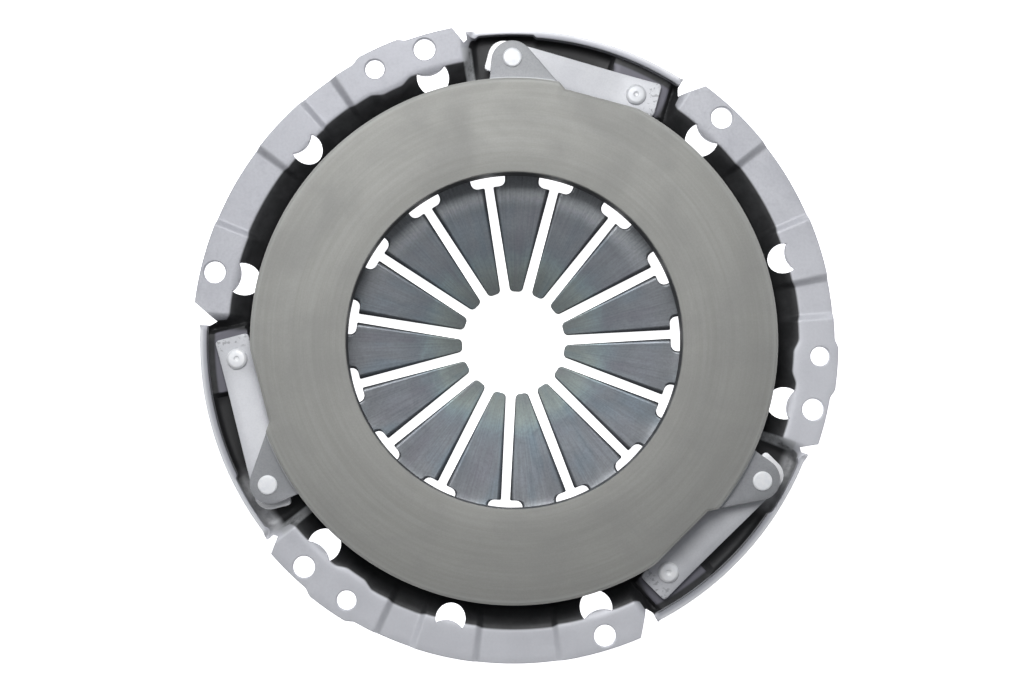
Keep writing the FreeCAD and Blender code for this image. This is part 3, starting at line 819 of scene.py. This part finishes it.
class Shader:
    """A short way to build a material's nodes.

    Its colours are triples of display values. x, y, z and radius are a point's place and its
    distance from the clutch axis, in millimetres.
    """

    def __init__(self, name):
        self.material = bpy.data.materials.new(name)
        self.material.use_nodes = True
        self.tree = self.material.node_tree
        self.surface = self.tree.nodes["Principled BSDF"]
        self.place = self.node("ShaderNodeTexCoord").outputs["Object"]
        scaled = self.node("ShaderNodeVectorMath", operation="SCALE")
        self.fill(scaled, Vector=self.place, Scale=1 / MM)
        self.x, self.y, self.z = self.split(scaled.outputs[0])
        self.radius = self.length(self.x, self.y)

    def node(self, kind, **settings):
        """A new node with some of its settings."""
        made = self.tree.nodes.new(kind)
        for key, value in settings.items():
            setattr(made, key, value)
        return made

    def put(self, target, value):
        """Links a socket to another, or sets its value."""
        if isinstance(value, bpy.types.NodeSocket):
            self.tree.links.new(value, target)
        else:
            target.default_value = linear(*value) if isinstance(value, tuple) else value

    def fill(self, node, **values):
        """Links or sets a node's inputs by their names."""
        for key, value in values.items():
            self.put(node.inputs[key.replace("_", " ")], value)

    def maths(self, operation, first, second=0.0):
        """The result of a sum or another operation on two numbers."""
        made = self.node("ShaderNodeMath", operation=operation)
        self.put(made.inputs[0], first)
        self.put(made.inputs[1], second)
        return made.outputs[0]

    def times(self, first, *others):
        """The product of several values."""
        for other in others:
            first = self.maths("MULTIPLY", first, other)
        return first

    def length(self, x, y):
        """The length of a flat vector."""
        return self.maths("SQRT", self.maths("ADD", self.times(x, x), self.times(y, y)))

    def between(self, value, low, high, start=0.0, end=1.0):
        """The value, mapped from one range to another and kept inside it."""
        made = self.node("ShaderNodeMapRange", interpolation_type="SMOOTHSTEP")
        for number, setting in enumerate((value, low, high, start, end)):
            self.put(made.inputs[number], setting)
        return made.outputs[0]

    def band(self, value, start, full, fading, end):
        """1 inside a band of values and 0 outside it, with a soft edge on each side."""
        return self.times(self.between(value, start, full), self.between(value, end, fading))

    def mix(self, share, first, second):
        """A mix of two colours."""
        made = self.node("ShaderNodeMix", data_type="RGBA")
        for number, setting in ((0, share), (6, first), (7, second)):
            self.put(made.inputs[number], setting)
        return made.outputs[2]

    def tinted(self, colour, shade, value, low, high, most=1.0):
        """The colour, mixed with a shade as a value passes from low to high."""
        return self.mix(self.between(value, low, high, 0.0, most), colour, shade)

    def noise(self, scale, detail, roughness, vector=None, distortion=0.0):
        """Noise in object space, from about 0 to 1."""
        made = self.node("ShaderNodeTexNoise")
        self.fill(made, Vector=vector or self.place, Scale=scale, Detail=detail, Roughness=roughness,
                  Distortion=distortion)
        return made.outputs["Fac"]

    def split(self, vector):
        """The three parts of a vector."""
        made = self.node("ShaderNodeSeparateXYZ")
        self.put(made.inputs[0], vector)
        return made.outputs

    def joined(self, x, y, z):
        """A vector from three parts."""
        made = self.node("ShaderNodeCombineXYZ")
        for socket, value in zip(made.inputs, (x, y, z)):
            self.put(socket, value)
        return made.outputs[0]

    def turn_from(self, first, step):
        """The turn from the nearest of the directions that lie a step apart, in degrees."""
        turn = self.maths("DEGREES", self.maths("ARCTAN2", self.y, self.x))
        past = self.maths("FLOORED_MODULO", self.maths("SUBTRACT", turn, first - step / 2), step)
        return self.maths("SUBTRACT", past, step / 2)

    def bump(self, height, strength, distance):
        """Fine relief over softened edges, put on the surface's normal."""
        soft = self.node("ShaderNodeBevel", samples=4)
        self.fill(soft, Radius=soft_edge * MM)
        made = self.node("ShaderNodeBump")
        self.fill(made, Strength=strength, Distance=distance * MM, Height=height, Normal=soft.outputs[0])
        self.fill(self.surface, Normal=made.outputs[0])

    def finish(self, colour, metallic, noise, low, high):
        """Sets the surface's colour, how metallic it is, and its roughness, by a noise."""
        roughness = self.between(noise, 0.2, 0.8, low, high)
        self.fill(self.surface, Base_Color=colour, Roughness=roughness, Metallic=metallic)
        return self.material


def plate_material():
    """Grey iron: a face turned in fine rings and a cast skin elsewhere, with painted highlights at the
    face's edge and the lug steps, and painted shade in the bore and towards the back.
    """
    s = Shader("grey_iron")
    rings = s.noise(1.0, 3.0, 0.6, s.joined(s.times(s.radius, 2.6), 0.0, 0.0))
    arcs = s.noise(1.0, 3.0, 0.6, s.joined(s.times(s.radius, 0.52), s.times(s.x, 0.016),
                                           s.times(s.y, 0.016)))
    blotch = s.noise(34.0, 5.0, 0.62, distortion=0.5)
    grain = s.noise(1400.0, 3.0, 0.6)
    face = s.tinted((150, 150, 145), (157, 157, 153), arcs, 0.3, 0.7)
    face = s.tinted(face, (143, 143, 140), blotch, 0.4, 0.68, 0.5)
    face = s.tinted(face, (172, 172, 168), rings, 0.3, 0.75, 0.12)
    face = s.tinted(face, (122, 122, 119), grain, 0.3, 0.7, 0.14)
    skin = s.tinted((150, 152, 154), (166, 167, 171), blotch, 0.3, 0.75)
    skin = s.tinted(skin, (126, 127, 129), grain, 0.35, 0.75, 0.3)
    on_face = s.between(s.z, face_height - 1.3, face_height - 0.9)
    colour = s.mix(on_face, skin, face)
    # Painted highlight: a lighter band along the outer edge and chamfer of the turned face.
    rim_highlight = s.times(on_face, s.between(s.radius, plate_radius - 2.6, plate_radius - 1.4), 0.25)
    colour = s.mix(rim_highlight, colour, (182, 183, 180))
    # Painted highlight: a bright band on the step from the ring's face down to each lug.
    lug_step_highlight = s.times(s.band(s.z, lug_front, lug_front + 0.05, lug_front + 2.0, lug_front + 2.6),
                       s.between(s.radius, plate_radius + 1.1, plate_radius + 0.6), 0.8)
    colour = s.mix(lug_step_highlight, colour, (214, 216, 218))
    # Painted shade: the upper part of the bore's wall made nearly black.
    bore_shade = s.times(s.between(s.radius, plate_bore_radius + 3, plate_bore_radius + 1),
                   s.between(s.z, face_height - 0.3, face_height - 2), 0.9)
    colour = s.mix(bore_shade, colour, (30, 30, 32))
    # Painted shade: the casting darkens towards its back.
    colour = s.tinted(colour, (66, 66, 68), s.z, 0.5, plate_back, 0.425)
    s.bump(s.maths("ADD", s.times(rings, 0.6), grain), 0.2, 0.04)
    return s.finish(colour, 0.3, blotch, 0.5, 0.6)


def cover_skin(s, cloud, streak, grain):
    """The cover's pale skin, with painted light: lighter towards the lower right of the view and darker
    towards the upper left.
    """
    skin = s.tinted((184, 185, 191), (200, 201, 206), cloud, 0.3, 0.7)
    skin = s.tinted(skin, (160, 161, 168), streak, 0.5, 0.75, 0.35)
    skin = s.tinted(skin, (150, 150, 156), grain, 0.35, 0.7, 0.2)
    # Painted light: the skin is lightened towards the lower right of the view and darkened towards the
    # upper left.
    light_slant = s.maths("SUBTRACT", s.y, s.times(s.x, 0.5))
    skin = s.tinted(skin, (228, 229, 234), light_slant, 60, -110, 0.6)
    return s.tinted(skin, (160, 161, 168), light_slant, 60, 150, 0.35)


def pocket_rim_shade(s):
    """The rim of a pocket: painted shade at its inner edge, and a painted highlight at its outer one."""
    shade = s.tinted((70, 72, 74), (168, 169, 176), s.radius, pocket_radius - 0.2, pocket_radius + 1.0)
    return s.tinted(shade, (236, 237, 240), s.radius, pocket_radius + 0.9, pocket_radius + 2.9)


def shaded_inside(s, offset, in_pocket, upward):
    """Where shade is painted: 1 on the inside of the cover's walls, and 0 on the flange and round its
    holes.
    """
    inward = s.times(s.band(offset, *dowel_boss_span), dowel_boss_depth)
    edge = s.maths("ADD", s.maths("ADD", s.radius, s.times(s.z, recess_lean)), inward)
    wall = s.between(edge, wall_top_radius + 1.2, wall_top_radius)
    below = s.between(s.z, -recess_depth - 0.6, -recess_depth - 1.6)
    turn = s.maths("RADIANS", s.turn_from(first_bolt_angle, middle_window_offset))
    ahead = s.maths("SUBTRACT", s.times(s.radius, s.maths("COSINE", turn)), bolt_radius)
    aside = s.times(s.radius, s.maths("SINE", turn))
    off_boss = s.between(s.length(ahead, aside), bolt_boss_radius + 0.2, bolt_boss_radius + 0.7)
    return s.times(upward, s.maths("MAXIMUM", wall, below), s.maths("MAXIMUM", off_boss, in_pocket))


def inside_shade(s, offset, in_pocket, streak):
    """The painted shade inside the walls: near black and mottled, greyer on the strap pads, darkest on
    the pocket floor, and painted light on the walls of the lower pockets.
    """
    # Painted shade: near black and mottled.
    deep_shade = s.tinted((22, 23, 23), (44, 44, 45), streak, 0.35, 0.7)
    top = strap_pad_top
    # Lighter painted shade on the raised strap pads.
    pad = s.times(s.band(s.z, top - 0.7, top - 0.3, top + 0.3, top + 1.0), in_pocket,
                  s.between(s.radius, pocket_radius - 2.0, pocket_radius - 3.2),
                  s.between(s.radius, strap_pad_inner, strap_pad_inner + 2))
    shade = s.mix(pad, deep_shade, (102, 101, 110))
    # The deepest painted shade, on the pocket floor.
    shade = s.tinted(shade, (15, 15, 16), s.z, pocket_floor + 1.7, pocket_floor + 0.9)
    # Painted light on the walls of the lower pockets.
    lit = s.times(s.between(s.y, -20, -80), s.between(offset, pocket_span[1] - 13, pocket_span[1] - 7),
                  s.between(s.radius, pocket_radius - 6.2, pocket_radius - 2.7),
                  s.between(streak, 0.3, 0.6, 0.6, 1.0))
    return s.mix(lit, shade, (206, 207, 209))


def cover_material():
    """Pressed sheet steel: a pale skin with painted light, lighter mottled patches at the pockets' ends,
    and painted shade inside the walls.
    """
    s = Shader("pressed_steel")
    upward = s.between(s.split(s.node("ShaderNodeNewGeometry").outputs["Normal"])[2], -0.1, 0.15)
    cloud = s.noise(45.0, 4.0, 0.6, distortion=0.4)
    grain = s.noise(900.0, 3.0, 0.6)
    streak = s.noise(160.0, 5.0, 0.65)
    offset = s.turn_from(first_bolt_angle, strap_spacing)
    in_pocket = s.band(offset, pocket_span[0] - 0.6, pocket_span[0] + 0.6,
                       pocket_span[1] - 0.2, pocket_span[1] + 1.0)
    # Painted shade and highlight along the rim of each pocket.
    rim = s.times(s.band(s.z, pocket_rim - 1.0, pocket_rim - 0.6, pocket_rim + 0.2, pocket_rim + 0.5),
                  in_pocket, s.between(s.radius, pocket_radius - 0.6, pocket_radius))
    colour = s.mix(rim, cover_skin(s, cloud, streak, grain), pocket_rim_shade(s))
    inside = shaded_inside(s, offset, in_pocket, upward)
    shade = inside_shade(s, offset, in_pocket, streak)
    # Painted shade over the inside of the walls and pockets.
    colour = s.mix(s.times(inside, 0.97), colour, shade)
    pad_start = flange_pads[0][0]
    # Lighter mottled patches on the end wall of each pocket, over the painted shade.
    end_wall_patches = s.times(s.band(offset, pad_start - 2.4, pad_start - 1.8, pad_start - 0.6, pad_start), upward,
                    s.between(s.radius, pocket_radius - 2.2, pocket_radius - 3.2),
                    s.between(streak, 0.3, 0.6, 0.25, 0.95))
    colour = s.mix(end_wall_patches, colour, (196, 198, 200))
    s.bump(s.maths("ADD", grain, streak), 0.2, 0.06)
    return s.finish(colour, 0.25, cloud, 0.46, 0.6)


def spring_material():
    """Hardened spring steel, dark blue-grey, drawn along its fingers and tinted by heat, with painted
    shade towards the top of the view and painted light on the finger roots there.
    """
    s = Shader("blued_steel")
    cloud = s.noise(60.0, 5.0, 0.6, distortion=0.8)
    grain = s.noise(1100.0, 3.0, 0.6)
    angle = s.maths("ARCTAN2", s.y, s.x)
    drawn = s.noise(1.0, 3.0, 0.6, s.joined(s.times(angle, 70.0), s.times(s.radius, 0.045), 0.0))
    patch = s.noise(1.0, 2.0, 0.5, s.joined(s.times(angle, 5.0), s.times(s.radius, 0.03), 0.0))
    wander = s.maths("ADD", s.radius, s.times(s.maths("SUBTRACT", cloud, 0.5), 16))
    heat = s.node("ShaderNodeValToRGB")
    s.put(heat.inputs[0], s.between(wander, 20, 72))
    stops = ((0.0, (120, 127, 124)), (0.12, (136, 147, 144)), (0.24, (132, 147, 150)),
             (0.34, (124, 133, 140)), (0.44, (126, 132, 138)), (0.6, (132, 137, 142)),
             (0.8, (134, 138, 144)), (1.0, (138, 141, 144)))
    ramp = heat.color_ramp
    while len(ramp.elements) < len(stops):
        ramp.elements.new(0.5)
    for element, (spot, shade) in zip(ramp.elements, stops):
        element.position = spot
        element.color = linear(*shade)
    colour = s.tinted(heat.outputs[0], (94, 98, 104), cloud, 0.35, 0.7, 0.45)
    colour = s.tinted(colour, (100, 126, 140), patch, 0.5, 0.7, 0.3)
    colour = s.tinted(colour, (112, 104, 116), patch, 0.46, 0.3, 0.25)
    # Painted shade: darker towards the top of the view.
    colour = s.tinted(colour, (84, 88, 92), s.y, -60, 60, 0.4)
    # Painted light on the finger roots at the top of the view, where the bore casts its shadow.
    root = s.times(s.between(s.y, 10, 60), s.between(s.radius, 57, 65), 0.7)
    colour = s.mix(root, colour, (196, 200, 204))
    colour = s.tinted(colour, (72, 74, 78), drawn, 0.3, 0.75, 0.3)
    colour = s.tinted(colour, (60, 62, 66), grain, 0.35, 0.75, 0.2)
    s.bump(s.maths("ADD", grain, drawn), 0.15, 0.04)
    return s.finish(colour, 0.8, cloud, 0.34, 0.42)


def strap_material():
    """Bright spring strip with faint marks of rolling, dents at its tail, and a painted highlight at its
    nose.
    """
    s = Shader("spring_strip")
    cloud = s.noise(60.0, 3.0, 0.5)
    grain = s.noise(1300.0, 3.0, 0.6)
    marks = s.noise(620.0, 3.0, 0.6)
    turn = s.maths("RADIANS", s.turn_from(strap_normal_angle, strap_spacing))
    run = s.times(s.radius, s.maths("SINE", turn))
    tail = cover_rivet_run - strap_tail
    nose = lug_rivet_run + 4
    colour = s.tinted((203, 204, 208), (214, 215, 218), cloud, 0.3, 0.7)
    colour = s.tinted(colour, (175, 176, 180), grain, 0.35, 0.75, 0.2)
    dents = s.times(s.between(marks, 0.55, 0.62, 0.0, 0.55), s.between(run, tail + 5.5, tail + 4))
    colour = s.mix(dents, colour, (128, 129, 132))
    # Painted highlight: the nose past the lug rivet is painted nearly white.
    colour = s.tinted(colour, (253, 253, 254), run, nose, nose + 1)
    s.bump(grain, 0.12, 0.03)
    return s.finish(colour, 0.3, cloud, 0.46, 0.56)


def rivet_material(name, light, dark):
    """Plated rivets, with painted light: their tone is drawn to a mid grey towards the top of the view.
    """
    s = Shader(name)
    cloud = s.noise(420.0, 3.0, 0.5)
    colour = s.tinted(light, dark, cloud, 0.35, 0.7)
    # Painted light: towards the top of the view, the tone is drawn to a mid grey.
    colour = s.tinted(colour, (196, 198, 202), s.y, -20, 90, 0.5)
    s.bump(cloud, 0.18, 0.08)
    return s.finish(colour, 0.15, cloud, 0.36, 0.5)


def wire_material():
    """Drawn steel wire."""
    s = Shader("drawn_wire")
    cloud = s.noise(300.0, 3.0, 0.5)
    colour = s.tinted((120, 121, 124), (158, 159, 161), cloud, 0.3, 0.7)
    s.bump(cloud, 0.1, 0.03)
    return s.finish(colour, 0.85, cloud, 0.3, 0.45)


def floor_material():
    """A white light table."""
    s = Shader("light_table")
    s.fill(s.surface, Emission_Color=(255, 255, 255), Emission_Strength=1.0)
    mottle = s.noise(3.0, 2.0, 0.5)
    colour = s.tinted((250, 250, 250), (254, 254, 254), mottle, 0.2, 0.8)
    return s.finish(colour, 0.0, mottle, 0.9, 0.9)


# Stage

def make_floor():
    """The pale floor that the part lies on."""
    level = cad_box[0][2]
    sides = ((-1, -1), (1, -1), (1, 1), (-1, 1))
    corners = [(x * floor_half, y * floor_half, level) for x, y in sides]
    floor = new_piece("floor", corners, [(0, 1, 2, 3)])
    floor.data.materials.append(floor_material())


def make_light(name, spot, size, power):
    """A soft area light that points at the part."""
    data = bpy.data.lights.new(name, "AREA")
    data.shape = "DISK"
    data.size = size
    data.energy = power
    light = bpy.data.objects.new(name, data)
    light.location = spot
    light.rotation_euler = Vector(spot).to_track_quat("Z", "Y").to_euler()
    bpy.context.scene.collection.objects.link(light)


def make_camera():
    """The camera at the photograph's place, with the bolt circle where the photograph has it."""
    scale = bolt_radius * MM / bolt_circle_pixels
    away = Vector((-math.sin(math.radians(camera_lean_left)),
                   -math.sin(math.radians(camera_lean_down)), 1)).normalized()
    right = Vector((0, 1, 0)).cross(away).normalized()
    up = away.cross(right)
    aside = (bolt_circle_centre[0] - picture_size[0] / 2) * scale
    above = (picture_size[1] / 2 - bolt_circle_centre[1]) * scale
    data = bpy.data.cameras.new("view")
    data.sensor_width = sensor_width
    data.lens = sensor_width * camera_distance / (picture_size[0] * scale)
    data.clip_end = clip_distance
    camera = bpy.data.objects.new("view", data)
    turn = Matrix((right, up, away)).transposed().to_4x4()
    camera.matrix_world = Matrix.Translation(away * camera_distance - right * aside - up * above) @ turn
    bpy.context.scene.collection.objects.link(camera)
    bpy.context.scene.camera = camera


def make_world():
    """Even surroundings, brighter towards the top of the view than towards its foot."""
    world = bpy.data.worlds.new("studio")
    world.use_nodes = True
    nodes, links = world.node_tree.nodes, world.node_tree.links
    split = nodes.new("ShaderNodeSeparateXYZ")
    links.new(nodes.new("ShaderNodeTexCoord").outputs["Generated"], split.inputs[0])
    glow = nodes.new("ShaderNodeMapRange")
    glow.interpolation_type = "SMOOTHSTEP"
    for number, value in enumerate(sky_span + sky_strength, 1):
        glow.inputs[number].default_value = value
    links.new(split.outputs[1], glow.inputs[0])
    background = nodes["Background"]
    background.inputs["Color"].default_value = sky_colour
    links.new(glow.outputs[0], background.inputs["Strength"])
    bpy.context.scene.world = world


def make_stage():
    """Camera, floor, lights and surroundings."""
    make_camera()
    make_floor()
    for name, settings in lamps.items():
        make_light(name, *settings)
    make_world()
    bpy.context.scene.view_settings.view_transform = "Standard"


# The part

def dress(piece, material, body, slot, *nodes):
    """Dresses a piece with its material, ties it to its body and hides the nodes it stands for. slot is
    not used.
    """
    piece.data.materials.clear()
    piece.data.materials.append(material)
    if body:
        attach(piece, body)
    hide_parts(*nodes)


def make_part():
    """Every piece of the clutch."""
    iron = plate_material()
    pressed = cover_material()
    blued = spring_material()
    strip = strap_material()
    plated = rivet_material("plated_rivet", (252, 253, 254), (242, 244, 247))
    shouldered = rivet_material("shouldered_rivet", (170, 172, 176), (196, 198, 202))
    wire = wire_material()

    dress(make_cover(), pressed, "cover", "cover_steel", "cover")
    dress(make_plate(), iron, "pressure_plate", "plate_iron", "pressure_plate")
    spring = make_spring()
    dress(spring, blued, "cover", "spring_steel", "diaphragm_spring")
    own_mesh(spring)
    for name, side in (("front", 1), ("rear", -1)):
        ring = make_ring(f"wire_ring_{name}", fulcrum_height + side * ring_offset)
        dress(ring, wire, "cover", "ring_wire", f"fulcrum_ring_{name}")
    dress(make_fulcrum_rivets(), shouldered, "cover", "rivet_steel", "fulcrum_rivets")
    for index in range(strap_count):
        name = f"strap_{index + 1}"
        dress(make_cover_rivet(index), plated, "cover", "rivet_steel", f"{name}_rivet_cover")
        dress(make_lug_rivet(index), plated, "pressure_plate", "rivet_steel", f"{name}_rivet_lug")
        for layer in range(leaf_count):
            leaf = make_leaf(index, layer)
            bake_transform(leaf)
            dress(leaf, strip, None, "strap_steel", f"{name}_leaf_{layer + 1}")


make_stage()
make_part()
